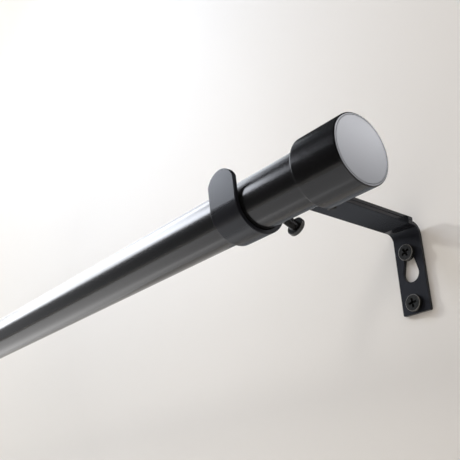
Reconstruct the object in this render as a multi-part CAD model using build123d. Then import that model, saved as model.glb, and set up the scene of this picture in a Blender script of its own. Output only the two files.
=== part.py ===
from build123d import *
from math import cos, radians, sin, sqrt
import os

# Extendable curtain rod: two telescoping tubes with end caps, held by two adjustable wall brackets.
# Frame: X along the rod, +Y into the wall with the wall face at Y = 0, +Z up.
# The origin lies on the wall face, midway between the right bracket's two wall screws.
# All sizes are in millimetres.

# Tubes
outer_tube_d = 25.4
tube_wall = 0.8
telescope_gap = 0.8
outer_tube_length = 604.0
inner_tube_length = 700.0
exposed_inner = 200.0
running_gap = 0.1

# Plastic sleeves that guide the inner tube in the outer one
sleeve_length = 16.0
mouth_flange = 2.0

# End caps and their moulded liners
cap_length = 24.6
cap_wall = 1.2
cap_face = 1.5
cap_face_chamfer = 0.6
cap_overhang = 69.2
liner_thickness = 2.05
liner_floor = 1.5
liner_recess = 0.8
liner_fit = 0.02

# Steel strip that brackets and holders are bent from
strip_width = 18.0
strip_thickness = 2.2
strip_corner_radius = 0.8

# Wall bracket
projection = 120.0
rod_height = 12.4
screw_spacing = 29.0
plate_margin = 5.5
bracket_bend_radius = 4.6
bar_clearance = 2.6
bar_reach = 74.0
keyhole_drop = 11.8

# Rod holder
slide_gap = 0.1
arm_wall_gap = 5.7
hook_bend_radius = 4.0
front_lean = 4.0
back_lean = 20.0
tip_rise = 3.05
tip_radius = 9.8
projection_in = 5.0
projection_out = 35.0
collar_radius = 4.2
collar_height = 1.4

# Clamp and lock screws
machine_screw_r = 2.5
machine_head_r = 4.8
machine_head_height = 2.4
thread_gap = 0.08
slot_gap = 0.3
clamp_length = 17.2
clamp_gap = 0.3
clamp_aim = 71.0
lock_from_end = 12.5
lock_stub = 1.4
washer_r = 5.6
washer_thickness = 1.0

# Wall screws
wall_screw_r = 2.0
wall_neck_r = 1.6
wall_head_r = 4.7
wall_head_height = 2.8
wall_screw_depth = 30.0
screw_hole_gap = 0.3

# Cross recess of every screw head, as shares of its radius or height
recess_reach = 0.56
recess_width = 0.3
recess_depth = 0.6

# Sizes that follow from the above
outer_r = outer_tube_d / 2
inner_r = outer_r - tube_wall - telescope_gap
bore_r = outer_r - tube_wall
seat_drop = outer_r - inner_r
hook_r = outer_r + running_gap
hook_mid_r = hook_r + strip_thickness / 2
rod_y = -projection
bar_bottom = rod_height + outer_r + bar_clearance
bar_mid = bar_bottom + strip_thickness / 2
arm_bottom = bar_bottom + strip_thickness + slide_gap
arm_mid = arm_bottom + strip_thickness / 2
arm_top = arm_bottom + strip_thickness
lock_y = lock_from_end - bar_reach
upper_screw_z = screw_spacing / 2
lower_screw_z = -screw_spacing / 2
plate_bottom = lower_screw_z - plate_margin
cap_r = outer_r + liner_thickness + cap_wall
cap_bore_r = outer_r + liner_thickness
tube_setback = cap_face + liner_floor

# Stations along the rod
right_face_x = cap_overhang
right_end_x = right_face_x - tube_setback
mouth_x = right_end_x - outer_tube_length
left_cap_x = mouth_x - mouth_flange - exposed_inner
left_face_x = left_cap_x - cap_length
left_end_x = left_face_x + tube_setback
left_hook_x = left_face_x + cap_overhang
glide_x = left_end_x + inner_tube_length

# Directions of the holder's back leg, in the plane of Y and Z
leg_normal = Vector(0, cos(radians(back_lean)), -sin(radians(back_lean)))
leg_up = Vector(0, sin(radians(back_lean)), cos(radians(back_lean)))
hook_centre = Vector(0, rod_y, rod_height)
clamp_rise = inner_r * sin(radians(clamp_aim)) - seat_drop * cos(radians(back_lean))


# Helpers
def along_rod(x, direction=1):
    """Plane square to the rod's axis at station x, facing along the rod."""
    return Plane(origin=(x, rod_y, rod_height), x_dir=(0, 1, 0), z_dir=(direction, 0, 0))


def rod(radius, length):
    """Solid cylinder that starts on its plane."""
    return Cylinder(radius, length, align=(Align.CENTER, Align.CENTER, Align.MIN))


def bent_strip(corners, radii):
    """Flat strip bent along corners in the YZ plane, given at the middle of its thickness."""
    path = FilletPolyline(*[(0, y, z) for y, z in corners], radius=radii)
    start = Plane(origin=path @ 0, x_dir=(1, 0, 0), z_dir=path % 0)
    return sweep(start * Rectangle(strip_width, strip_thickness), path=path)


def screw_head(radius, height):
    """Round head on its seat at z = 0, with a cross recess."""
    slot = Box(
        2 * radius * recess_reach,
        radius * recess_width,
        height * recess_depth,
        align=(Align.CENTER, Align.CENTER, Align.MAX),
    )
    cross = slot + Rot(0, 0, 90) * slot
    return rod(radius, height) - Pos(0, 0, height) * cross


def machine_screw(length):
    """Screw seated at z = 0, whose shank below has its thread's full size."""
    shank = Pos(0, 0, -length) * rod(machine_screw_r, length)
    return screw_head(machine_head_r, machine_head_height) + shank


# Tubes and their sleeves
def make_outer_tube():
    tube = rod(outer_r, outer_tube_length) - rod(bore_r, outer_tube_length)
    return along_rod(mouth_x) * tube


def make_inner_tube():
    tube = rod(inner_r, inner_tube_length) - rod(inner_r - tube_wall, inner_tube_length)
    return along_rod(left_end_x) * tube


def make_mouth_sleeve():
    """Sleeve in the outer tube's mouth, with a flange that covers the tube's edge."""
    flange = rod(outer_r, mouth_flange)
    sleeve = rod(bore_r - liner_fit, mouth_flange + sleeve_length)
    way = rod(inner_r + running_gap, mouth_flange + sleeve_length)
    return along_rod(mouth_x - mouth_flange) * (flange + sleeve - way)


def make_inner_glide():
    """Ring on the inner tube's hidden end, which glides in the outer tube."""
    ring = rod(bore_r - running_gap, sleeve_length) - rod(inner_r + liner_fit, sleeve_length)
    return along_rod(glide_x - sleeve_length) * ring


# End caps
def make_cap(face_x, direction):
    """Drum-shaped cap, open towards the rod, with its flat face at face_x."""
    drum = rod(cap_r, cap_length)
    drum = chamfer(drum.edges().group_by(Axis.Z)[-1], cap_face_chamfer)
    cap = drum - rod(cap_bore_r, cap_length - cap_face)
    return along_rod(face_x - direction * cap_length, direction) * cap


def make_liner(face_x, direction, tube_r):
    """Moulded cup inside a cap, with a floor that stops the tube."""
    length = cap_length - cap_face - liner_recess
    cup = rod(cap_bore_r - liner_fit, length) - rod(tube_r + running_gap, length - liner_floor)
    return along_rod(face_x - direction * (cap_face + length), direction) * cup


# Brackets, modelled at the right end
def make_wall_bracket():
    """L-shaped strip: a wall plate with a keyhole and a screw hole, and a bar for the holder."""
    bend = bracket_bend_radius + strip_thickness / 2
    plate_mid = -strip_thickness / 2
    corners = [(plate_mid, plate_bottom), (plate_mid, bar_mid), (-bar_reach, bar_mid)]
    strip = bent_strip(corners, bend)
    plate_corners = strip.edges().filter_by(Axis.Y).group_by(Axis.Z)[0]
    bar_corners = strip.edges().filter_by(Axis.Z).group_by(Axis.Y)[0]
    strip = fillet(plate_corners + bar_corners, strip_corner_radius)
    wide = Pos(0, upper_screw_z - keyhole_drop) * Circle(wall_head_r + screw_hole_gap)
    narrow = Pos(0, upper_screw_z) * Circle(wall_screw_r + screw_hole_gap)
    keyhole = make_hull((wide + narrow).edges())
    screw_hole = Pos(0, lower_screw_z) * Circle(wall_screw_r + screw_hole_gap)
    through_plate = extrude(Plane.XZ * (keyhole + screw_hole), strip_thickness)
    lock_hole = Pos(0, lock_y, bar_bottom) * rod(machine_screw_r + thread_gap, strip_thickness)
    return strip - through_plate - lock_hole


def leg_point(along, rise):
    """Point so far from the hook's centre along the clamp screw, and so far up the back leg."""
    return hook_centre + leg_normal * along + leg_up * rise


def make_rod_holder():
    """Strip bent into an open hook: rounded tip, cradle, leaning back leg and slotted arm."""
    lean = radians(front_lean)
    front_normal = Vector(0, -cos(lean), -sin(lean))
    # The lines of the two legs meet below the tube, and the cradle rounds that corner.
    meet = hook_centre + (front_normal + leg_normal) * (hook_mid_r / (1 + front_normal.dot(leg_normal)))
    tip_z = rod_height + outer_r + tip_rise
    front_tangent = hook_centre + front_normal * hook_mid_r
    tip_y = front_tangent.Y - (tip_z - front_tangent.Z) * sin(lean) / cos(lean)
    back_tangent = hook_centre + leg_normal * hook_mid_r
    heel_y = back_tangent.Y + (arm_mid - back_tangent.Z) * leg_up.Y / leg_up.Z
    corners = [(tip_y, tip_z), (meet.Y, meet.Z), (heel_y, arm_mid), (-arm_wall_gap, arm_mid)]
    strip = bent_strip(corners, [hook_mid_r, hook_bend_radius + strip_thickness / 2])
    tip_depth = 4 * strip_thickness
    tip_disc = Pos(0, tip_y, tip_z - tip_radius) * Rot(90, 0, 0) * Cylinder(tip_radius, tip_depth)
    tip_block = Pos(0, tip_y, tip_z) * Box(2 * strip_width, tip_depth, 2 * tip_radius)
    strip = strip - (tip_block - tip_disc)
    arm_corners = strip.edges().filter_by(Axis.Z).group_by(Axis.Y)[-1]
    strip = fillet(arm_corners, strip_corner_radius)
    collar_plane = Plane(origin=leg_point(hook_r + strip_thickness / 2, clamp_rise), z_dir=leg_normal)
    collar = collar_plane * rod(collar_radius, strip_thickness / 2 + collar_height)
    hole_plane = Plane(origin=leg_point(hook_r - strip_thickness, clamp_rise), z_dir=leg_normal)
    clamp_hole = hole_plane * rod(machine_screw_r + thread_gap, 2 * strip_thickness + collar_height)
    slot_r = machine_screw_r + slot_gap
    travel = projection_in + projection_out
    slot_mid = lock_y + (projection_out - projection_in) / 2
    slot_face = Pos(0, slot_mid, arm_bottom) * Rot(0, 0, 90) * SlotOverall(travel + 2 * slot_r, 2 * slot_r)
    slot = extrude(slot_face, strip_thickness)
    return strip + collar - clamp_hole - slot


def make_clamp_screw(tube_r):
    """Screw through the back leg, whose end stops just short of the tube in the cradle."""
    drop = outer_r - tube_r
    reach = tube_r + clamp_gap
    aside = clamp_rise - machine_screw_r + drop * leg_up.Z
    point = sqrt(reach**2 - aside**2) - drop * leg_normal.Z
    seat = Plane(origin=leg_point(point + clamp_length, clamp_rise), x_dir=(1, 0, 0), z_dir=leg_normal)
    return seat * machine_screw(clamp_length)


def lock_seat():
    """Height of the lock washer's underside, just clear of the arm that slides below it."""
    return arm_top + slide_gap


def make_lock_washer():
    ring = rod(washer_r, washer_thickness) - rod(machine_screw_r + slot_gap, washer_thickness)
    return Pos(0, lock_y, lock_seat()) * ring


def make_lock_screw():
    """Screw down through the washer and the arm's slot into the bar, with its end just showing below."""
    seat_z = lock_seat() + washer_thickness
    length = seat_z - bar_bottom + lock_stub
    return Pos(0, lock_y, seat_z) * machine_screw(length)


def make_wall_screws():
    """Two screws with a plain neck in the plate and a shank of its thread's full size in the wall."""
    neck = Pos(0, 0, -strip_thickness) * rod(wall_neck_r, strip_thickness)
    thread = Pos(0, 0, -strip_thickness - wall_screw_depth) * rod(wall_screw_r, wall_screw_depth)
    screw = screw_head(wall_head_r, wall_head_height) + neck + thread
    seats = [
        Plane(origin=(0, -strip_thickness, z), x_dir=(1, 0, 0), z_dir=(0, -1, 0))
        for z in (upper_screw_z, lower_screw_z)
    ]
    return Compound(children=[seat * screw for seat in seats])


# The left bracket is the same one, raised so that the thinner inner tube rests level in its cradle.
to_left = Pos(left_hook_x, 0, seat_drop)

nodes = {
    "outer_tube": make_outer_tube(),
    "mouth_sleeve": make_mouth_sleeve(),
    "inner_tube": make_inner_tube(),
    "inner_glide": make_inner_glide(),
    "end_cap_right": make_cap(right_face_x, 1),
    "end_cap_left": make_cap(left_face_x, -1),
    "cap_liner_right": make_liner(right_face_x, 1, outer_r),
    "cap_liner_left": make_liner(left_face_x, -1, inner_r),
}
bracket_set = {
    "wall_bracket": (make_wall_bracket(), make_wall_bracket()),
    "rod_holder": (make_rod_holder(), make_rod_holder()),
    "clamp_screw": (make_clamp_screw(outer_r), make_clamp_screw(inner_r)),
    "lock_screw": (make_lock_screw(), make_lock_screw()),
    "lock_washer": (make_lock_washer(), make_lock_washer()),
    "wall_screws": (make_wall_screws(), make_wall_screws()),
}
for name, (right, left) in bracket_set.items():
    nodes[name + "_right"] = right
    nodes[name + "_left"] = to_left * left

os.makedirs("parts", exist_ok=True)
for name, shape in nodes.items():
    export_step(shape, f"parts/{name}.step")
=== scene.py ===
"""Looks of the extendable curtain rod: coated tubes, folded brackets and cross-head screws by a wall."""

from math import acos, atan2, ceil, cos, pi, radians, sin, sqrt, tan

import bmesh
import bpy
from mathutils import Matrix, Vector


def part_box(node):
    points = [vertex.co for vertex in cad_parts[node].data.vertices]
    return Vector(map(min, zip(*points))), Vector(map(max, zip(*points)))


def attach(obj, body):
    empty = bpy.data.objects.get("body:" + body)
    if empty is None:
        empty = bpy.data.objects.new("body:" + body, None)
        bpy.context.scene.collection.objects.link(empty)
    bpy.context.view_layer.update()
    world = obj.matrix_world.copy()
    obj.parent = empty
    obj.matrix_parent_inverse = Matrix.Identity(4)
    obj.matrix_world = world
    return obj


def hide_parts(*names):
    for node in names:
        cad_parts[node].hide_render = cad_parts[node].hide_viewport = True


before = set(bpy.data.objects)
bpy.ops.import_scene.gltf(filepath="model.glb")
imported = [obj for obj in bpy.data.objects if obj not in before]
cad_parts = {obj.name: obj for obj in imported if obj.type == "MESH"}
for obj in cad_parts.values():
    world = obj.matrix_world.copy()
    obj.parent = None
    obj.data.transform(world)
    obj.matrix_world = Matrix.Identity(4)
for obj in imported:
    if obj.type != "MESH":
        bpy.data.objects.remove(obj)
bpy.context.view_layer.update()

MM = 0.001

# Strips that the brackets are bent from
STRIP_THICKNESS = 2.2 * MM
STRIP_EDGE = 0.35 * MM
STRIP_CORNER = 0.8 * MM
BRACKET_BEND = 4.6 * MM
HOLDER_BEND = 4.0 * MM
HOOK_PLAY = 0.1 * MM
FRONT_LEAN = radians(4.0)
BACK_LEAN = radians(20.0)
TIP_RISE = 3.05 * MM
TIP_RADIUS = 9.8 * MM
EDGE_RINGS = 2
FLAT_SHARE = 0.02
ARC_STEP = radians(3.0)
FOLD_STEP = radians(4.0)
WELD = 0.001 * MM
FINE_WELD = 0.0001 * MM

# Holes in the strips
HOLE_PLAY = 0.3 * MM
THREAD_PLAY = 0.08 * MM
KEYHOLE_DROP = 11.8 * MM
PROJECTION_IN = 5.0 * MM
PROJECTION_OUT = 35.0 * MM
COLLAR_R = 4.2 * MM
COLLAR_HEIGHT = 1.4 * MM
COLLAR_SINK = 0.2 * MM
COLLAR_EDGE = 0.35 * MM

# Turned pieces
LATHE_STEPS = 128
ROUND_STEPS = 6
TUBE_WALL = 0.8 * MM
TUBE_EDGE = 0.25 * MM
CAP_WALL = 1.2 * MM
CAP_FACE = 1.5 * MM
CAP_FACE_EDGE = 0.7 * MM
CAP_BACK_EDGE = 0.4 * MM
CAP_INNER_EDGE = 0.2 * MM
CAP_HUB = 0.02 * MM
GROOVE_INSET = 1.15 * MM
GROOVE_WIDTH = 0.3 * MM
GROOVE_DEPTH = 0.18 * MM
TIGHT_EDGE = 0.05 * MM
FLANGE_LENGTH = 2.0 * MM
FLANGE_EDGE = 0.5 * MM
SLEEVE_EDGE = 0.2 * MM
SLEEVE_PLAY = 0.1 * MM
SLEEVE_FIT = 0.02 * MM
WASHER_EDGE = 0.2 * MM

# Screws
MACHINE_R = 2.5 * MM
MACHINE_HEAD_R = 4.8 * MM
MACHINE_HEAD_HEIGHT = 2.4 * MM
MACHINE_PITCH = 0.8 * MM
MACHINE_THREAD = 0.42 * MM
MACHINE_END = 0.6 * MM
MACHINE_END_SHARE = 0.78
CLAMP_LENGTH = 17.2 * MM
CLAMP_GAP = 0.3 * MM
CLAMP_AIM = radians(71.0)
WALL_SCREW_R = 2.0 * MM
WALL_NECK_R = 1.6 * MM
WALL_HEAD_R = 4.7 * MM
WALL_HEAD_HEIGHT = 2.8 * MM
WALL_PITCH = 1.4 * MM
WALL_THREAD = 0.6 * MM
WALL_END = 6.0 * MM
WALL_END_SHARE = 0.1
HEAD_STEPS = 96
HEAD_SEAT_EDGE = 0.2 * MM
HEAD_EDGE = 0.4 * MM
HEAD_EDGE_STEPS = 7
HEAD_CROWN = 0.06 * MM
HEAD_CROWN_STEPS = 8
SHARP_ANGLE = radians(38.0)

# Cross recess, in shares of the head's radius or height
RECESS_REACH = 0.58
RECESS_WIDTH = 0.28
RECESS_DEPTH = 0.62
RECESS_TAPER = 0.75
RECESS_TOP = 1.05

# Threads, and the turns that the screws were left at
THREAD_STEPS = 48
THREAD_ROWS = 10
THREAD_STEEPNESS = 1.4
THREAD_FLAT = 0.2
SHANK_SINK = 0.5 * MM
LOCK_TURN = radians(25.0)
RIGHT_TURNS = (radians(30.0), radians(6.0))
LEFT_TURNS = (radians(65.0), radians(10.0))

# Coats
DRIFT_SCALE = 40
DRIFT_DETAIL = 4
DRIFT_DARK = 0.3
DRIFT_LIGHT = 0.7
PEEL_DETAIL = 3
PEEL_STRENGTH = 0.6
GLOSS_SPREAD = 0.05
PLAIN_SPECULAR = 0.5
PLAIN_GLOSS = (1.0, 1.0, 1.0)
COOL_GLOSS = (0.94, 0.955, 1.0)
BLUE_GLOSS = (0.86, 0.91, 1.0)

# The photograph's camera
CAMERA_AT = Vector((225.705, -322.279, -121.487)) * MM
CAMERA_AHEAD = Vector((-0.70605552, 0.59820607, 0.37899223))
CAMERA_UP = Vector((0.32137189, -0.20622873, 0.9242239))
CAMERA_LENS = 56.594
CAMERA_SENSOR = 36
CAMERA_CLIP = 0.01

# Wall and floor, in metres
WALL_Y = 0.3 * MM
WALL_TOP = 2.5
FLOOR_Z = -0.75
ROOM_LEFT = -4.0
ROOM_RIGHT = 3.0
ROOM_FRONT = -4.0
WALL_COLOR = (0.80, 0.785, 0.77)
FLOOR_COLOR = (0.80, 0.78, 0.75)
# Painted pool of light: the wall's paint grows paler around a place behind the rod
LIT_POOL_COLOR = (0.95, 0.935, 0.92)
LIT_POOL_AT = (-0.15, 0, 0.10)
LIT_POOL_REACH = 0.26
PAINT_ROUGHNESS = 0.85
PAINT_SPECULAR = 0.2

# Cards that only reflections show, in metres
CARD_Y = -0.01
CARD_RIGHT = 0.3
FLAG_Y = -1.02
FLAG_LOW = -0.65
FLAG_HIGH = 0.46
CEILING_Z = 0.95
CEILING_FRONT = -1.9
GLOW_LOW = 0.10
GLOW_LEFT = -0.80
GLOW_EDGE = [(-0.105, GLOW_LOW), (-0.115, 0.20), (-0.39, 0.54), (-0.60, CEILING_Z)]
PANEL_Z = 0.9
PANEL_FRONT = -1.68
PANEL_SEAM = -1.75
PANEL_EDGE = [(-0.80, 0), (-0.83, -0.20), (-0.97, -0.45), (-0.98, -0.65), (-1.03, -0.93)]
PANEL_EDGE += [(-1.56, PANEL_FRONT)]
APRON_LEFT = -0.92
APRON_RIGHT = -0.58
APRON_FRONT = -0.36
BOUNCE_Z = -0.74
BOUNCE_FRONT = -0.84
BOUNCE_TOP = -0.12
BAND_RIGHT = -0.28
BAND_TOP = -0.05
SHADE_LEFT = -0.13
SHADE_RIGHT = 0.02
SHADE_LOW = -0.045
SHADE_HIGH = 0.033
END_GAP = 0.026
END_BACK = -0.062
END_TOP = 0.056
WARM_GLOW = (1.0, 0.985, 0.97)

# World
SHOWN_COLOR = (0.95, 0.97, 1.0)
SHOWN_STRENGTH = 0.8
FILL_COLOR = (1.0, 0.91, 0.825)
FILL_STRENGTH = 0.51

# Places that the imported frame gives
tube_low, tube_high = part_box("outer_tube")
inner_low, inner_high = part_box("inner_tube")
ROD_Y = (tube_low.y + tube_high.y) / 2
ROD_Z = (tube_low.z + tube_high.z) / 2
OUTER_R = (tube_high.z - tube_low.z) / 2
INNER_R = (inner_high.z - inner_low.z) / 2
SEAT_DROP = OUTER_R - INNER_R
HOOK_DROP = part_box("rod_holder_right")[1].z - STRIP_THICKNESS / 2 - ROD_Z
HOOK_MID_R = OUTER_R + HOOK_PLAY + STRIP_THICKNESS / 2
CLAMP_RISE = INNER_R * sin(CLAMP_AIM) - SEAT_DROP * cos(BACK_LEAN)
LEG_NORMAL = Vector((0, cos(BACK_LEAN), -sin(BACK_LEAN)))
LEG_UP = Vector((0, sin(BACK_LEAN), cos(BACK_LEAN)))


# Shapes
class Shape:
    """Vertices, faces and one normal for each vertex."""

    def __init__(self, verts, faces, normals):
        self.verts = verts
        self.faces = faces
        self.normals = normals

    def __add__(self, other):
        """Both shapes as one."""
        shift = len(self.verts)
        faces = [tuple(i + shift for i in face) for face in other.faces]
        return Shape(self.verts + other.verts, self.faces + faces, self.normals + other.normals)

    def mesh(self, name):
        """Smooth mesh with the shape's own normals."""
        mesh = bpy.data.meshes.new(name)
        mesh.from_pydata(self.verts, [], self.faces)
        mesh.update()
        mesh.shade_smooth()
        mesh.normals_split_custom_set_from_vertices(self.normals)
        return mesh


def rounded(corners, radii):
    """Outline of anticlockwise (along, radius) corners with an arc at each, and its normals."""
    points = []
    normals = []
    count = len(corners)
    for i in range(count):
        here = Vector(corners[i])
        before = (Vector(corners[i - 1]) - here).normalized()
        after = (Vector(corners[(i + 1) % count]) - here).normalized()
        half = acos(max(-1.0, min(1.0, before.dot(after)))) / 2
        centre = here + (before + after).normalized() * (radii[i] / sin(half))
        start = here + before * (radii[i] / tan(half)) - centre
        end = here + after * (radii[i] / tan(half)) - centre
        sweep = atan2(start.x * end.y - start.y * end.x, start.dot(end))
        outward = 1 if sweep > 0 else -1
        for k in range(ROUND_STEPS + 1):
            turn = sweep * k / ROUND_STEPS
            c = cos(turn)
            s = sin(turn)
            spoke = Vector((start.x * c - start.y * s, start.x * s + start.y * c))
            points.append(centre + spoke)
            normals.append(spoke.normalized() * outward)
    return points, normals


def lathe(corners, radii, place):
    """Turn a rounded outline about the local Z axis and put the ring in its place."""
    points, slopes = rounded(corners, radii)
    turn = place.to_3x3()
    verts = []
    normals = []
    faces = []
    for p, n in zip(points, slopes):
        for k in range(LATHE_STEPS):
            c = cos(2 * pi * k / LATHE_STEPS)
            s = sin(2 * pi * k / LATHE_STEPS)
            verts.append(place @ Vector((p.y * c, p.y * s, p.x)))
            normals.append(turn @ Vector((n.y * c, n.y * s, n.x)))
    for i in range(len(points)):
        j = (i + 1) % len(points)
        for k in range(LATHE_STEPS):
            m = (k + 1) % LATHE_STEPS
            ring = (i * LATHE_STEPS + k, i * LATHE_STEPS + m, j * LATHE_STEPS + m, j * LATHE_STEPS + k)
            faces.append(ring[::-1])
    return Shape(verts, faces, normals)


def along_rod(x, direction):
    """Place on the rod's axis whose local Z points along the rod, to the right or to the left."""
    return Matrix.Translation((x, ROD_Y, ROD_Z)) @ Matrix.Rotation(direction * pi / 2, 4, "Y")


# Strips: stamped flat with rounded edges, then folded
def arc(u, v, radius, start, end):
    """Points on an arc about (u, v) from one angle to another."""
    count = ceil(abs(end - start) / ARC_STEP)
    angles = [start + (end - start) * k / count for k in range(count + 1)]
    return [(u + radius * cos(a), v + radius * sin(a)) for a in angles]


def circle(u, radius):
    """Round hole on the strip's middle line."""
    return arc(u, 0, radius, 0, 2 * pi)[:-1]


def slot(u0, u1, radius):
    """Hole with round ends between two places on the strip's middle line."""
    return arc(u1, 0, radius, -pi / 2, pi / 2) + arc(u0, 0, radius, pi / 2, 3 * pi / 2)


def keyhole(u, drop, narrow, wide):
    """Hole that narrows from a wide circle to a narrow one at u."""
    lean = acos((wide - narrow) / drop)
    return arc(u - drop, 0, wide, lean, 2 * pi - lean) + arc(u, 0, narrow, -lean, lean)


def far_end(length, half_width):
    """The strip's square end at a length, with its corners rounded."""
    r = STRIP_CORNER
    return arc(length - r, r - half_width, r, -pi / 2, 0) + arc(length - r, half_width - r, r, 0, pi / 2)


def near_end(half_width):
    """The strip's square end at zero, with its corners rounded."""
    r = STRIP_CORNER
    return arc(r, half_width - r, r, pi / 2, pi) + arc(r, r - half_width, r, pi, 3 * pi / 2)


def round_tip(half_width):
    """The strip's end at zero, as one broad arc."""
    spread = acos(sqrt(1 - (half_width / TIP_RADIUS) ** 2))
    return arc(TIP_RADIUS, 0, TIP_RADIUS, pi - spread, pi + spread)


def stamped(outline, holes):
    """Flat strip with u along it, v across it, and every edge rounded."""
    curve = bpy.data.curves.new("stamped", "CURVE")
    curve.dimensions = "2D"
    curve.fill_mode = "BOTH"
    curve.extrude = STRIP_THICKNESS / 2 - STRIP_EDGE
    curve.bevel_depth = STRIP_EDGE
    curve.bevel_resolution = EDGE_RINGS
    curve.offset = -STRIP_EDGE
    for loop in [outline] + [hole[::-1] for hole in holes]:
        spline = curve.splines.new("POLY")
        spline.points.add(len(loop) - 1)
        for point, (u, v) in zip(spline.points, loop):
            point.co = (u, v, 0, 1)
        spline.use_cyclic_u = True
    blank = bpy.data.objects.new("stamped", curve)
    mesh = bpy.data.meshes.new_from_object(blank)
    bpy.data.objects.remove(blank)
    return mesh


class FoldPath:
    """Middle line of a folded strip in the YZ plane: straight runs joined by arcs."""

    def __init__(self, corners, radii):
        self.parts = []
        self.length = 0.0
        at = Vector(corners[0])
        for i in range(1, len(corners)):
            corner = Vector(corners[i])
            ahead = (corner - at).normalized()
            last = i == len(corners) - 1
            after = ahead if last else (Vector(corners[i + 1]) - corner).normalized()
            turn = atan2(ahead.x * after.y - ahead.y * after.x, ahead.dot(after))
            reach = 0 if last else radii[i - 1] * tan(abs(turn) / 2)
            self.add(at, ahead, 0, (corner - at).length - reach)
            if not last:
                bend = radii[i - 1]
                self.add(corner - ahead * reach, ahead, turn / abs(turn) / bend, bend * abs(turn))
            at = corner + after * reach

    def add(self, at, ahead, curvature, length):
        """Next part of the line, which starts at a point in a direction."""
        self.parts.append((self.length, at, ahead, curvature))
        self.length += length

    def ends(self):
        """Distance along the strip at which each part begins, and the whole length."""
        return [part[0] for part in self.parts] + [self.length]

    def at(self, u):
        """Point and unit tangent at a distance along the strip."""
        start, at, ahead, curvature = [part for part in self.parts if part[0] <= max(u, 0)][-1]
        run = u - start
        if not curvature:
            return at + ahead * run, ahead
        turn = curvature * run
        side = Vector((-ahead.y, ahead.x))
        point = at + ahead * (sin(turn) / curvature) + side * ((1 - cos(turn)) / curvature)
        return point, ahead * cos(turn) + side * sin(turn)


def folded(mesh, path, x):
    """Bend a stamped strip along a path, centred on x, with normals that follow the bend."""
    bm = bmesh.new()
    bm.from_mesh(mesh)
    bmesh.ops.remove_doubles(bm, verts=bm.verts, dist=WELD)
    ends = path.ends()
    for i, part in enumerate(path.parts):
        curvature = part[3]
        if not curvature:
            continue
        run = ends[i + 1] - ends[i]
        cuts = ceil(abs(curvature) * run / FOLD_STEP)
        for k in range(cuts + 1):
            cut_at = (ends[i] + run * k / cuts, 0, 0)
            geometry = bm.verts[:] + bm.edges[:] + bm.faces[:]
            bmesh.ops.bisect_plane(bm, geom=geometry, dist=FINE_WELD, plane_co=cut_at, plane_no=(1, 0, 0))
    bmesh.ops.recalc_face_normals(bm, faces=bm.faces)
    flat_z = STRIP_THICKNESS / 2 - STRIP_EDGE * FLAT_SHARE
    side_z = STRIP_THICKNESS / 2 - STRIP_EDGE * (1 - FLAT_SHARE)
    verts = []
    normals = []
    for vert in bm.verts:
        u, v, w = vert.co
        n = sum((face.normal * face.calc_area() for face in vert.link_faces), Vector())
        if abs(w) > flat_z:
            n = Vector((0, 0, w))
        elif abs(w) < side_z:
            n = Vector((n.x, n.y, 0))
        n = n.normalized()
        point, ahead = path.at(u)
        side = Vector((-ahead.y, ahead.x))
        place = point + side * w
        slope = ahead * n.x + side * n.z
        verts.append(Vector((x + v, place.x, place.y)))
        normals.append(Vector((n.y, slope.x, slope.y)))
    bm.verts.index_update()
    # Folding turns the strip's own axes left-handed, so each face is listed backwards.
    faces = [tuple(vert.index for vert in face.verts)[::-1] for face in bm.faces]
    bm.free()
    return Shape(verts, faces, normals)


# Screws: a head and a threaded shank, fused, with a cross recess
def combined(mesh, operation, tool):
    """Mesh after a boolean with a tool."""
    work = bpy.data.objects.new("work", mesh)
    other = bpy.data.objects.new("tool", tool)
    for item in (work, other):
        bpy.context.scene.collection.objects.link(item)
    modifier = work.modifiers.new("cut", "BOOLEAN")
    modifier.operation = operation
    modifier.solver = "EXACT"
    modifier.object = other
    graph = bpy.context.evaluated_depsgraph_get()
    out = bpy.data.meshes.new_from_object(work.evaluated_get(graph))
    for item in (work, other):
        bpy.data.objects.remove(item)
    return out


def closed_mesh(name, verts, faces):
    """Mesh with doubled points welded and its faces turned outwards."""
    mesh = bpy.data.meshes.new(name)
    mesh.from_pydata(verts, [], faces)
    bm = bmesh.new()
    bm.from_mesh(mesh)
    bmesh.ops.remove_doubles(bm, verts=bm.verts, dist=FINE_WELD)
    bmesh.ops.recalc_face_normals(bm, faces=bm.faces)
    bm.to_mesh(mesh)
    bm.free()
    return mesh


def pan_head(radius, height):
    """Upright head on its seat at z = 0, with a rounded edge and a slightly crowned top."""
    top = height - HEAD_CROWN
    flat_r = radius - HEAD_EDGE
    profile = [(0, 0), (0, radius - HEAD_SEAT_EDGE), (HEAD_SEAT_EDGE, radius)]
    for k in range(HEAD_EDGE_STEPS + 1):
        turn = pi / 2 * k / HEAD_EDGE_STEPS
        profile.append((top - HEAD_EDGE * (1 - sin(turn)), flat_r + HEAD_EDGE * cos(turn)))
    for k in range(1, HEAD_CROWN_STEPS + 1):
        share = 1 - k / HEAD_CROWN_STEPS
        profile.append((top + HEAD_CROWN * (1 - share**2), flat_r * share))
    verts = []
    faces = []
    for along, r in profile:
        for k in range(HEAD_STEPS):
            angle = 2 * pi * k / HEAD_STEPS
            verts.append((r * cos(angle), r * sin(angle), along))
    for i in range(len(profile) - 1):
        for k in range(HEAD_STEPS):
            m = (k + 1) % HEAD_STEPS
            low = i * HEAD_STEPS
            high = low + HEAD_STEPS
            faces.append((low + k, low + m, high + m, high + k))
    return closed_mesh("head", verts, faces)


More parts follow.
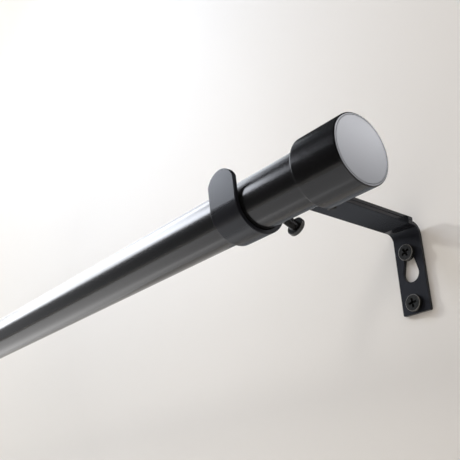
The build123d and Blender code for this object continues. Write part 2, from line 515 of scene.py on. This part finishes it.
def shank(length, crest, depth, pitch, end, end_share, neck=0, neck_r=0):
    """Threaded shank down from z = 0, with a narrowing end and, where asked for, a plain neck."""
    rows = ceil(length / pitch * THREAD_ROWS)
    verts = []
    faces = []
    for i in range(rows + 1):
        z = SHANK_SINK - (length + SHANK_SINK) * i / rows
        narrowing = min(1, end_share + (1 - end_share) * (z + length) / end)
        for k in range(THREAD_STEPS):
            angle = 2 * pi * k / THREAD_STEPS
            phase = (z / pitch + k / THREAD_STEPS) % 1
            ridge = max(0, min(1, THREAD_STEEPNESS * (1 - abs(2 * phase - 1)) - THREAD_FLAT))
            r = neck_r if z > -neck else (crest - depth * (1 - ridge)) * narrowing
            verts.append((r * cos(angle), r * sin(angle), z))
    for i in range(rows):
        for k in range(THREAD_STEPS):
            m = (k + 1) % THREAD_STEPS
            low = i * THREAD_STEPS
            high = low + THREAD_STEPS
            faces.append((low + k, low + m, high + m, high + k))
    faces.append(tuple(range(THREAD_STEPS)))
    faces.append(tuple(range(rows * THREAD_STEPS, (rows + 1) * THREAD_STEPS)))
    return closed_mesh("shank", verts, faces)


def recess_arm(radius, height, turn):
    """Tapered bar that cuts one stroke of the cross into a head."""
    reach = radius * RECESS_REACH
    half = radius * RECESS_WIDTH / 2
    floor = height * (1 - RECESS_DEPTH)
    verts = []
    for z, share in ((floor, RECESS_TAPER), (height * RECESS_TOP, 1)):
        for x, y in ((-reach, -half), (reach, -half), (reach, half), (-reach, half)):
            verts.append(Matrix.Rotation(turn, 3, "Z") @ Vector((x * share, y * share, z)))
    faces = [(3, 2, 1, 0), (4, 5, 6, 7)] + [(i, (i + 1) % 4, (i + 1) % 4 + 4, i + 4) for i in range(4)]
    return closed_mesh("recess", verts, faces)


def cross_head_screw(radius, height, body):
    """Screw seated at z = 0: head above, shank below and a second material that paints a highlight on the
    head's rim.
    """
    screw = combined(pan_head(radius, height), "UNION", body)
    for turn in (0, pi / 2):
        screw = combined(screw, "DIFFERENCE", recess_arm(radius, height, turn))
    screw.shade_smooth()
    screw.set_sharp_from_angle(angle=SHARP_ANGLE)
    # The rim's faces take the second material, a lighter coat that is a painted highlight on the rounded edge
    rim_r = radius - HEAD_EDGE
    rim_z = height - HEAD_CROWN - HEAD_EDGE
    for face in screw.polygons:
        on_rim = face.center.xy.length > rim_r and face.center.z > rim_z
        face.material_index = 1 if on_rim else 0
    return screw


def placed(name, mesh, places):
    """Copies of a mesh at several places, as one mesh."""
    bm = bmesh.new()
    for place in places:
        copy = mesh.copy()
        copy.transform(place)
        bm.from_mesh(copy)
    out = bpy.data.meshes.new(name)
    bm.to_mesh(out)
    bm.free()
    return out


# Materials
def coating(name, dark, light, roughness, peel_scale, peel_height, specular=PLAIN_SPECULAR, tint=PLAIN_GLOSS):
    """Coat whose tone drifts a little, with fine orange peel."""
    material = bpy.data.materials.new(name)
    material.use_nodes = True
    nodes = material.node_tree.nodes
    links = material.node_tree.links
    shader = nodes["Principled BSDF"]
    shader.inputs["Specular IOR Level"].default_value = specular
    shader.inputs["Specular Tint"].default_value = (*tint, 1)
    place = nodes.new("ShaderNodeTexCoord").outputs["Object"]

    drift = nodes.new("ShaderNodeTexNoise")
    drift.inputs["Scale"].default_value = DRIFT_SCALE
    drift.inputs["Detail"].default_value = DRIFT_DETAIL
    links.new(place, drift.inputs["Vector"])
    tone = nodes.new("ShaderNodeValToRGB")
    tone.color_ramp.elements[0].position = DRIFT_DARK
    tone.color_ramp.elements[0].color = (*dark, 1)
    tone.color_ramp.elements[1].position = DRIFT_LIGHT
    tone.color_ramp.elements[1].color = (*light, 1)
    links.new(drift.outputs["Fac"], tone.inputs["Fac"])
    links.new(tone.outputs["Color"], shader.inputs["Base Color"])

    grain = nodes.new("ShaderNodeTexNoise")
    grain.inputs["Scale"].default_value = peel_scale
    grain.inputs["Detail"].default_value = PEEL_DETAIL
    links.new(place, grain.inputs["Vector"])
    gloss = nodes.new("ShaderNodeMapRange")
    gloss.inputs["To Min"].default_value = roughness - GLOSS_SPREAD
    gloss.inputs["To Max"].default_value = roughness + GLOSS_SPREAD
    links.new(grain.outputs["Fac"], gloss.inputs["Value"])
    links.new(gloss.outputs["Result"], shader.inputs["Roughness"])

    peel = nodes.new("ShaderNodeBump")
    peel.inputs["Strength"].default_value = PEEL_STRENGTH
    peel.inputs["Distance"].default_value = peel_height
    links.new(grain.outputs["Fac"], peel.inputs["Height"])
    links.new(peel.outputs["Normal"], shader.inputs["Normal"])
    return material


rod_coat = coating(
    "rod_satin_black", dark=(0.0042, 0.0042, 0.0046), light=(0.0058, 0.0058, 0.0062),
    roughness=0.21, peel_scale=900, peel_height=0.008 * MM, tint=COOL_GLOSS,
)
cap_coat = coating(
    "cap_satin_black", dark=(0.0042, 0.0042, 0.0048), light=(0.0058, 0.0058, 0.0064),
    roughness=0.19, peel_scale=1100, peel_height=0.008 * MM, tint=COOL_GLOSS,
)
bracket_coat = coating(
    "bracket_satin_black", dark=(0.011, 0.0115, 0.015), light=(0.014, 0.0145, 0.019),
    roughness=0.24, peel_scale=1000, peel_height=0.005 * MM, specular=0.33, tint=BLUE_GLOSS,
)
screw_black = coating(
    "screw_gloss_black", dark=(0.008, 0.008, 0.0075), light=(0.012, 0.012, 0.011),
    roughness=0.20, peel_scale=1600, peel_height=0.005 * MM,
)
clamp_black = coating(
    "clamp_gloss_black", dark=(0.008, 0.008, 0.0085), light=(0.012, 0.012, 0.0125),
    roughness=0.10, peel_scale=1600, peel_height=0.003 * MM, specular=0.8,
)
# Painted highlight: a lighter coat for the screw heads' rounded rim
rim_highlight_coat = coating(
    "screw_rim_painted_highlight", dark=(0.10, 0.098, 0.094), light=(0.14, 0.137, 0.131),
    roughness=0.3, peel_scale=1600, peel_height=0.005 * MM,
)
plastic = coating(
    "moulded_black", dark=(0.008, 0.008, 0.008), light=(0.011, 0.011, 0.011),
    roughness=0.45, peel_scale=2200, peel_height=0.010 * MM,
)


# Pieces
def add_piece(name, mesh, body, node, slot_name, *materials):
    """Add a mesh that rides on a body and stands for a CAD node."""
    piece = bpy.data.objects.new(name, mesh)
    bpy.context.scene.collection.objects.link(piece)
    for material in materials:
        mesh.materials.append(material)
    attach(piece, body)
    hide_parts(node)
    return piece


def add_tube(node, body):
    """Open tube with rounded rims."""
    low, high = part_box(node)
    r = (high.z - low.z) / 2
    length = high.x - low.x
    corners = [(0, r - TUBE_WALL), (length, r - TUBE_WALL), (length, r), (0, r)]
    tube = lathe(corners, [TUBE_EDGE] * 4, along_rod(low.x, 1))
    add_piece("coated_" + node, tube.mesh(node), body, node, "rod_coat", rod_coat)


def add_mouth_sleeve():
    """Flanged sleeve that closes the gap between the two tubes."""
    low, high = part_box("mouth_sleeve")
    length = high.x - low.x
    way = INNER_R + SLEEVE_PLAY
    bore = OUTER_R - TUBE_WALL - SLEEVE_FIT
    corners = [(0, way), (length, way), (length, bore)]
    corners += [(FLANGE_LENGTH, bore), (FLANGE_LENGTH, OUTER_R), (0, OUTER_R)]
    edges = [SLEEVE_EDGE] * 3 + [TIGHT_EDGE, TIGHT_EDGE, FLANGE_EDGE]
    sleeve = lathe(corners, edges, along_rod(low.x, 1))
    mesh = sleeve.mesh("mouth_sleeve")
    add_piece("moulded_mouth_sleeve", mesh, "outer_rod", "mouth_sleeve", "moulded_plastic", plastic)


def add_cap(side, direction):
    """Drum with a fine groove round its flat face, open towards the rod."""
    node = "end_cap_" + side
    low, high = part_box(node)
    r = (high.z - low.z) / 2
    length = high.x - low.x
    floor = length - CAP_FACE
    inner = r - CAP_WALL
    groove_r = r - GROOVE_INSET
    half = GROOVE_WIDTH / 2
    dip = length - GROOVE_DEPTH
    corners = [(0, inner), (floor, inner), (floor, CAP_HUB), (length, CAP_HUB)]
    edges = [CAP_BACK_EDGE, CAP_INNER_EDGE, CAP_HUB / 4, CAP_HUB / 4]
    corners += [(length, groove_r - half), (dip, groove_r), (length, groove_r + half), (length, r), (0, r)]
    edges += [TIGHT_EDGE, TIGHT_EDGE / 2, TIGHT_EDGE, CAP_FACE_EDGE, CAP_BACK_EDGE]
    back_x = low.x if direction > 0 else high.x
    cap = lathe(corners, edges, along_rod(back_x, direction))
    return add_piece("coated_" + node, cap.mesh(node), side + "_cap", node, "cap_coat", cap_coat)


def add_wall_bracket(side):
    """L-shaped strip with a keyhole and a screw hole in its plate and a threaded hole in its bar."""
    node = "wall_bracket_" + side
    low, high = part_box(node)
    half = (high.x - low.x) / 2
    bar_z = high.z - STRIP_THICKNESS / 2
    plate_y = high.y - STRIP_THICKNESS / 2
    corners = [(plate_y, low.z), (plate_y, bar_z), (low.y, bar_z)]
    path = FoldPath(corners, [BRACKET_BEND + STRIP_THICKNESS / 2])
    screws_low, screws_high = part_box("wall_screws_" + side)
    lock_low, lock_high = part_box("lock_screw_" + side)
    upper = screws_high.z - WALL_HEAD_R - low.z
    lower = screws_low.z + WALL_HEAD_R - low.z
    lock = path.length - ((lock_low.y + lock_high.y) / 2 - low.y)
    narrow = WALL_SCREW_R + HOLE_PLAY
    holes = [
        keyhole(upper, KEYHOLE_DROP, narrow, WALL_HEAD_R + HOLE_PLAY),
        circle(lower, narrow),
        circle(lock, MACHINE_R + THREAD_PLAY),
    ]
    outline = far_end(path.length, half) + near_end(half)
    strip = folded(stamped(outline, holes), path, (low.x + high.x) / 2)
    add_piece("coated_" + node, strip.mesh(node), side + "_bracket", node, "bracket_coat", bracket_coat)


def add_rod_holder(side):
    """Strip with a rounded tip, bent into a cradle, a leaning leg with a collar, and a slotted arm."""
    node = "rod_holder_" + side
    low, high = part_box(node)
    half = (high.x - low.x) / 2
    x = (low.x + high.x) / 2
    arm_z = high.z - STRIP_THICKNESS / 2
    centre = Vector((ROD_Y, arm_z - HOOK_DROP))
    front = Vector((-cos(FRONT_LEAN), -sin(FRONT_LEAN)))
    back = LEG_NORMAL.yz
    meet = centre + (front + back) * (HOOK_MID_R / (1 + front.dot(back)))
    front_tangent = centre + front * HOOK_MID_R
    back_tangent = centre + back * HOOK_MID_R
    tip_z = centre.y + OUTER_R + TIP_RISE
    tip_y = front_tangent.x - (tip_z - front_tangent.y) * tan(FRONT_LEAN)
    heel_y = back_tangent.x + (arm_z - back_tangent.y) * tan(BACK_LEAN)
    corners = [(tip_y, tip_z), tuple(meet), (heel_y, arm_z), (high.y, arm_z)]
    path = FoldPath(corners, [HOOK_MID_R, HOLDER_BEND + STRIP_THICKNESS / 2])
    lock_low, lock_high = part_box("lock_screw_" + side)
    lock = path.length - (high.y - (lock_low.y + lock_high.y) / 2)
    leg_start = path.ends()[2]
    holes = [
        circle(leg_start + CLAMP_RISE, MACHINE_R + THREAD_PLAY),
        slot(lock - PROJECTION_IN, lock + PROJECTION_OUT, MACHINE_R + HOLE_PLAY),
    ]
    outline = far_end(path.length, half) + round_tip(half)
    strip = folded(stamped(outline, holes), path, x)
    hook_centre = Vector((x, centre.x, centre.y))
    outer_face = HOOK_MID_R + STRIP_THICKNESS / 2
    seat = hook_centre + LEG_NORMAL * outer_face + LEG_UP * CLAMP_RISE
    place = Matrix.Translation(seat) @ LEG_NORMAL.to_track_quat("Z", "Y").to_matrix().to_4x4()
    hole_r = MACHINE_R + THREAD_PLAY
    top = COLLAR_HEIGHT
    ring = [(-COLLAR_SINK, hole_r), (top, hole_r), (top, COLLAR_R), (-COLLAR_SINK, COLLAR_R)]
    collar = lathe(ring, [TIGHT_EDGE, COLLAR_EDGE, COLLAR_EDGE, TIGHT_EDGE], place)
    holder = strip + collar
    add_piece("coated_" + node, holder.mesh(node), side + "_holder", node, "bracket_coat", bracket_coat)


def add_clamp_screw(side, tube_r):
    """Screw through the holder's back leg, with its head towards the wall."""
    node = "clamp_screw_" + side
    low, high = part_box(node)
    arm_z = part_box("rod_holder_" + side)[1].z - STRIP_THICKNESS / 2
    hook_centre = Vector(((low.x + high.x) / 2, ROD_Y, arm_z - HOOK_DROP))
    drop = OUTER_R - tube_r
    aside = CLAMP_RISE - MACHINE_R + drop * cos(BACK_LEAN)
    point = sqrt((tube_r + CLAMP_GAP) ** 2 - aside**2) + drop * sin(BACK_LEAN)
    seat = hook_centre + LEG_NORMAL * (point + CLAMP_LENGTH) + LEG_UP * CLAMP_RISE
    place = Matrix.Translation(seat) @ LEG_NORMAL.to_track_quat("Z", "Y").to_matrix().to_4x4()
    body = shank(CLAMP_LENGTH, MACHINE_R, MACHINE_THREAD, MACHINE_PITCH, MACHINE_END, MACHINE_END_SHARE)
    screw = cross_head_screw(MACHINE_HEAD_R, MACHINE_HEAD_HEIGHT, body)
    mesh = placed(node, screw, [place])
    add_piece("black_" + node, mesh, side + "_clamp", node, "screw_black", clamp_black, clamp_black)


def add_lock_screw(side):
    """Screw down through the washer and the arm's slot into the bar."""
    node = "lock_screw_" + side
    low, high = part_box(node)
    length = high.z - low.z - MACHINE_HEAD_HEIGHT
    seat = Vector(((low.x + high.x) / 2, (low.y + high.y) / 2, high.z - MACHINE_HEAD_HEIGHT))
    body = shank(length, MACHINE_R, MACHINE_THREAD, MACHINE_PITCH, MACHINE_END, MACHINE_END_SHARE)
    screw = cross_head_screw(MACHINE_HEAD_R, MACHINE_HEAD_HEIGHT, body)
    mesh = placed(node, screw, [Matrix.Translation(seat) @ Matrix.Rotation(LOCK_TURN, 4, "Z")])
    add_piece("black_" + node, mesh, side + "_bracket", node, "screw_black", screw_black, rim_highlight_coat)


def add_lock_washer(side):
    """Flat washer under the lock screw's head."""
    node = "lock_washer_" + side
    low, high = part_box(node)
    r = (high.x - low.x) / 2
    top = high.z - low.z
    hole = MACHINE_R + HOLE_PLAY
    place = Matrix.Translation(((low.x + high.x) / 2, (low.y + high.y) / 2, low.z))
    washer = lathe([(0, hole), (top, hole), (top, r), (0, r)], [WASHER_EDGE] * 4, place)
    add_piece("black_" + node, washer.mesh(node), side + "_bracket", node, "screw_black", screw_black)


def add_wall_screws(side, turns):
    """Two screws through the wall plate, each left at its own turn."""
    node = "wall_screws_" + side
    low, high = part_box(node)
    length = high.y - low.y - WALL_HEAD_HEIGHT
    thread = (WALL_SCREW_R, WALL_THREAD, WALL_PITCH, WALL_END, WALL_END_SHARE)
    body = shank(length, *thread, STRIP_THICKNESS, WALL_NECK_R)
    screw = cross_head_screw(WALL_HEAD_R, WALL_HEAD_HEIGHT, body)
    x = (low.x + high.x) / 2
    y = low.y + WALL_HEAD_HEIGHT
    places = []
    for z, turn in zip((high.z - WALL_HEAD_R, low.z + WALL_HEAD_R), turns):
        facing = Matrix.Rotation(pi / 2, 4, "X") @ Matrix.Rotation(turn, 4, "Z")
        places.append(Matrix.Translation((x, y, z)) @ facing)
    mesh = placed(node, screw, places)
    add_piece("black_" + node, mesh, side + "_bracket", node, "screw_black", screw_black, rim_highlight_coat)


add_tube("outer_tube", "outer_rod")
add_tube("inner_tube", "inner_rod")
add_mouth_sleeve()
right_cap = add_cap("right", 1)
left_cap = add_cap("left", -1)
for bracket_side, held_r, screw_turns in (("right", OUTER_R, RIGHT_TURNS), ("left", INNER_R, LEFT_TURNS)):
    add_wall_bracket(bracket_side)
    add_rod_holder(bracket_side)
    add_clamp_screw(bracket_side, held_r)
    add_lock_screw(bracket_side)
    add_lock_washer(bracket_side)
    add_wall_screws(bracket_side, screw_turns)
for hidden in ("cap_liner_right", "cap_liner_left", "inner_glide"):
    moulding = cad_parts[hidden]
    moulding.data.materials.clear()
    moulding.data.materials.append(plastic)


# Stage: wall, floor, cards, lamps and camera
def plain_paint(name, color):
    """Matt paint on one side of a sheet, which is clear from behind."""
    material = bpy.data.materials.new(name)
    material.use_nodes = True
    nodes = material.node_tree.nodes
    links = material.node_tree.links
    shader = nodes["Principled BSDF"]
    shader.inputs["Base Color"].default_value = (*color, 1)
    shader.inputs["Roughness"].default_value = PAINT_ROUGHNESS
    shader.inputs["Specular IOR Level"].default_value = PAINT_SPECULAR
    clear = nodes.new("ShaderNodeBsdfTransparent")
    sides = nodes.new("ShaderNodeMixShader")
    links.new(nodes.new("ShaderNodeNewGeometry").outputs["Backfacing"], sides.inputs["Fac"])
    links.new(shader.outputs["BSDF"], sides.inputs[1])
    links.new(clear.outputs["BSDF"], sides.inputs[2])
    links.new(sides.outputs["Shader"], nodes["Material Output"].inputs["Surface"])
    return material


def with_painted_light_pool(material, color, centre, reach):
    """Paint a pool of light into a paint: it grows paler towards a place on the sheet."""
    nodes = material.node_tree.nodes
    links = material.node_tree.links
    paint = nodes["Principled BSDF"].inputs["Base Color"]
    away = nodes.new("ShaderNodeVectorMath")
    away.operation = "DISTANCE"
    away.inputs[1].default_value = centre
    links.new(nodes.new("ShaderNodeTexCoord").outputs["Object"], away.inputs[0])
    share = nodes.new("ShaderNodeMapRange")
    share.inputs["From Max"].default_value = reach
    links.new(away.outputs["Value"], share.inputs["Value"])
    tone = nodes.new("ShaderNodeValToRGB")
    tone.color_ramp.elements[0].color = (*color, 1)
    tone.color_ramp.elements[1].color = paint.default_value
    links.new(share.outputs["Result"], tone.inputs["Fac"])
    links.new(tone.outputs["Color"], paint)


def glowing(name, color, radiance):
    """Cloth that glows evenly, for reflections."""
    material = bpy.data.materials.new(name)
    material.use_nodes = True
    nodes = material.node_tree.nodes
    light = nodes.new("ShaderNodeEmission")
    light.inputs["Color"].default_value = (*color, 1)
    light.inputs["Strength"].default_value = radiance
    material.node_tree.links.new(light.outputs["Emission"], nodes["Material Output"].inputs["Surface"])
    return material


def graded(name, color, axis, start, end):
    """Cloth whose glow changes along an axis between two (place, radiance) pairs."""
    material = glowing(name, color, start[1])
    nodes = material.node_tree.nodes
    links = material.node_tree.links
    parts = nodes.new("ShaderNodeSeparateXYZ")
    links.new(nodes.new("ShaderNodeTexCoord").outputs["Object"], parts.inputs["Vector"])
    change = nodes.new("ShaderNodeMapRange")
    change.inputs["From Min"].default_value = start[0]
    change.inputs["From Max"].default_value = end[0]
    change.inputs["To Min"].default_value = start[1]
    change.inputs["To Max"].default_value = end[1]
    links.new(parts.outputs[axis], change.inputs["Value"])
    links.new(change.outputs["Result"], nodes["Emission"].inputs["Strength"])
    return material


def add_sheet(name, corners, material):
    """Flat sheet that belongs to the stage."""
    mesh = bpy.data.meshes.new(name)
    mesh.from_pydata(corners, [], [tuple(range(len(corners)))])
    mesh.materials.append(material)
    sheet = bpy.data.objects.new(name, mesh)
    bpy.context.scene.collection.objects.link(sheet)
    return sheet


def add_card(name, corners, material):
    """Sheet that only reflections show."""
    card = add_sheet(name, corners, material)
    card.visible_camera = False
    card.visible_diffuse = False
    card.visible_shadow = False
    return card


def upright(y, left, right, low, high):
    """Corners of a sheet that stands along the wall."""
    return [(left, y, low), (right, y, low), (right, y, high), (left, y, high)]


def level(z, left, right, front, back):
    """Corners of a sheet that lies level."""
    return [(left, front, z), (right, front, z), (right, back, z), (left, back, z)]


def across(x, front, back, low, high):
    """Corners of a sheet that stands across the rod."""
    return [(x, front, high), (x, front, low), (x, back, low), (x, back, high)]


def add_room():
    """Wall, with a painted pool of light behind the rod, and floor."""
    wall_paint = plain_paint("wall_paint", WALL_COLOR)
    # Painted light: a paler pool in the wall's paint stands in for lamplight falling there
    with_painted_light_pool(wall_paint, LIT_POOL_COLOR, LIT_POOL_AT, LIT_POOL_REACH)
    floor_paint = plain_paint("floor_paint", FLOOR_COLOR)
    add_sheet("wall", upright(WALL_Y, ROOM_LEFT, ROOM_RIGHT, FLOOR_Z, WALL_TOP), wall_paint)
    add_sheet("floor", level(FLOOR_Z, ROOM_LEFT, ROOM_RIGHT, ROOM_FRONT, WALL_Y), floor_paint)


def add_dark_cards():
    """Dark parts of the room: in front of the rod, above it and on the wall to its right."""
    dim_cloth = glowing("dim_cloth", (0.9, 0.95, 1.0), 0.06)
    dark_cloth = graded("dark_cloth", (0.97, 0.98, 1.0), "X", (-1.95, 0.6), (-0.65, 0.03))
    add_card("front_flag", upright(FLAG_Y, ROOM_LEFT, ROOM_RIGHT, FLAG_LOW, FLAG_HIGH), dark_cloth)
    add_card("ceiling_flag", level(CEILING_Z, ROOM_LEFT, ROOM_RIGHT, CEILING_FRONT, 0), dim_cloth)
    edge = [(ROOM_RIGHT, GLOW_LOW), (ROOM_RIGHT, CEILING_Z)] + GLOW_EDGE[::-1]
    add_card("wall_flag", [(x, CARD_Y, z) for x, z in edge], dim_cloth)


def add_bright_cards():
    """Bright parts of the room: on the wall to the rod's left and overhead."""
    glow_cloth = graded("glow_cloth", (0.9, 0.94, 1.0), "X", (-0.10, 1.45), (-0.50, 2.8))
    edge = GLOW_EDGE + [(GLOW_LEFT, CEILING_Z), (GLOW_LEFT, GLOW_LOW)]
    add_card("wall_glow", [(x, CARD_Y, z) for x, z in edge], glow_cloth)
    bright_cloth = graded("bright_cloth", (0.91, 0.94, 1.0), "Y", (-0.95, 14.0), (-0.45, 7.5))
    edge = PANEL_EDGE + [(PANEL_SEAM, PANEL_FRONT), (PANEL_SEAM, 0)]
    add_card("ceiling_panel", [(x, y, PANEL_Z) for x, y in edge], bright_cloth)
    far_cloth = graded("far_cloth", (0.95, 0.97, 1.0), "Y", (-0.90, 9.0), (-0.25, 3.4))
    add_card("ceiling_far_panel", level(PANEL_Z, ROOM_LEFT, PANEL_SEAM, PANEL_FRONT, 0), far_cloth)
    apron_cloth = graded("apron_cloth", (0.86, 0.91, 1.0), "X", (APRON_RIGHT, 0.05), (GLOW_LEFT, 1.5))
    edge = [(APRON_RIGHT, 0), (APRON_RIGHT, APRON_FRONT), (APRON_LEFT, APRON_FRONT)] + PANEL_EDGE[1::-1]
    add_card("ceiling_apron", [(x, y, PANEL_Z) for x, y in edge], apron_cloth)


def add_low_cards():
    """Light that the floor and the low part of the wall throw back, and the shade by the wall plate."""
    floor_card = graded("floor_card", WARM_GLOW, "X", (-1.2, 1.8), (-0.65, 0.98))
    add_card("floor_bounce", level(BOUNCE_Z, ROOM_LEFT, CARD_RIGHT, BOUNCE_FRONT, 0), floor_card)
    shade_cloth = graded("shade_cloth", (0.9, 0.94, 1.0), "Z", (0.010, 0.37), (SHADE_HIGH, 0.02))
    add_card("plate_shade", upright(CARD_Y, SHADE_LEFT, SHADE_RIGHT, SHADE_LOW, SHADE_HIGH), shade_cloth)
    wall_card = graded("wall_card", WARM_GLOW, "X", (-0.55, 2.2), (-0.15, 0.7))
    add_card("wall_bounce", upright(CARD_Y, ROOM_LEFT, CARD_RIGHT, FLOOR_Z, BOUNCE_TOP), wall_card)
    band_card = glowing("band_card", WARM_GLOW, 1.25)
    add_card("wall_band", upright(CARD_Y, ROOM_LEFT, BAND_RIGHT, BOUNCE_TOP, BAND_TOP), band_card)


def add_end_cards():
    """Card off each end of the rod, which goes along with its cap when the joints move it."""
    end_cloth = graded("end_cloth", (0.97, 0.97, 1.0), "Z", (0.018, 3.8), (0.050, 7.85))
    low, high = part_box("end_cap_right")
    left_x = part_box("end_cap_left")[0].x
    bpy.context.view_layer.update()
    for cap, x in ((right_cap, high.x + END_GAP), (left_cap, left_x - END_GAP)):
        card = add_card("end_card", across(x, low.y, END_BACK, low.z, END_TOP), end_cloth)
        card.parent = cap
        card.matrix_parent_inverse = cap.matrix_world.inverted()


def add_lamp(name, at, aim, size, radiance, color):
    """Square lamp of a given brightness that neither the camera nor reflections show."""
    light = bpy.data.lights.new(name, "AREA")
    light.shape = "SQUARE"
    light.size = size
    light.energy = radiance * pi * size**2
    light.color = color
    lamp = bpy.data.objects.new(name, light)
    lamp.location = at
    lamp.rotation_euler = (Vector(aim) - Vector(at)).to_track_quat("-Z", "Y").to_euler()
    lamp.visible_camera = False
    lamp.visible_glossy = False
    bpy.context.scene.collection.objects.link(lamp)


def add_world():
    """Even fill light, and a plain tone where the camera, gloss or glass sees past the room."""
    world = bpy.data.worlds.new("studio")
    world.use_nodes = True
    nodes = world.node_tree.nodes
    links = world.node_tree.links
    shown = nodes["Background"]
    shown.inputs["Color"].default_value = (*SHOWN_COLOR, 1)
    shown.inputs["Strength"].default_value = SHOWN_STRENGTH
    fill = nodes.new("ShaderNodeBackground")
    fill.inputs["Color"].default_value = (*FILL_COLOR, 1)
    fill.inputs["Strength"].default_value = FILL_STRENGTH
    rays = nodes.new("ShaderNodeLightPath")
    seen = rays.outputs["Is Camera Ray"]
    for kind in ("Is Glossy Ray", "Is Transmission Ray"):
        either = nodes.new("ShaderNodeMath")
        either.operation = "MAXIMUM"
        links.new(seen, either.inputs[0])
        links.new(rays.outputs[kind], either.inputs[1])
        seen = either.outputs["Value"]
    both = nodes.new("ShaderNodeMixShader")
    links.new(seen, both.inputs["Fac"])
    links.new(fill.outputs["Background"], both.inputs[1])
    links.new(shown.outputs["Background"], both.inputs[2])
    links.new(both.outputs["Shader"], nodes["World Output"].inputs["Surface"])
    bpy.context.scene.world = world


def add_camera():
    """Camera at the photograph's viewing angle."""
    camera = bpy.data.objects.new("camera", bpy.data.cameras.new("camera"))
    turned = Matrix((CAMERA_AHEAD.cross(CAMERA_UP), CAMERA_UP, -CAMERA_AHEAD)).transposed()
    camera.matrix_world = Matrix.Translation(CAMERA_AT) @ turned.to_4x4()
    camera.data.lens = CAMERA_LENS
    camera.data.sensor_width = CAMERA_SENSOR
    camera.data.clip_start = CAMERA_CLIP
    bpy.context.scene.collection.objects.link(camera)
    bpy.context.scene.camera = camera


add_room()
add_dark_cards()
add_bright_cards()
add_low_cards()
add_end_cards()
add_lamp(
    "key_lamp", at=(-1.64, -0.74, 0.86), aim=(0, 0, 0.10),
    size=0.12, radiance=330, color=(0.98, 1.0, 0.96),
)
add_lamp(
    "window", at=(-0.35, -0.35, 0.45), aim=(-0.20, 0, 0.20),
    size=0.25, radiance=6.2, color=(0.70, 0.82, 1.0),
)
add_lamp(
    "front_lamp", at=(0.75, -1.75, 0.90), aim=(0, -0.1, 0),
    size=0.35, radiance=9, color=(1.0, 0.95, 0.87),
)
add_world()
add_camera()
bpy.context.scene.view_settings.view_transform = "Standard"
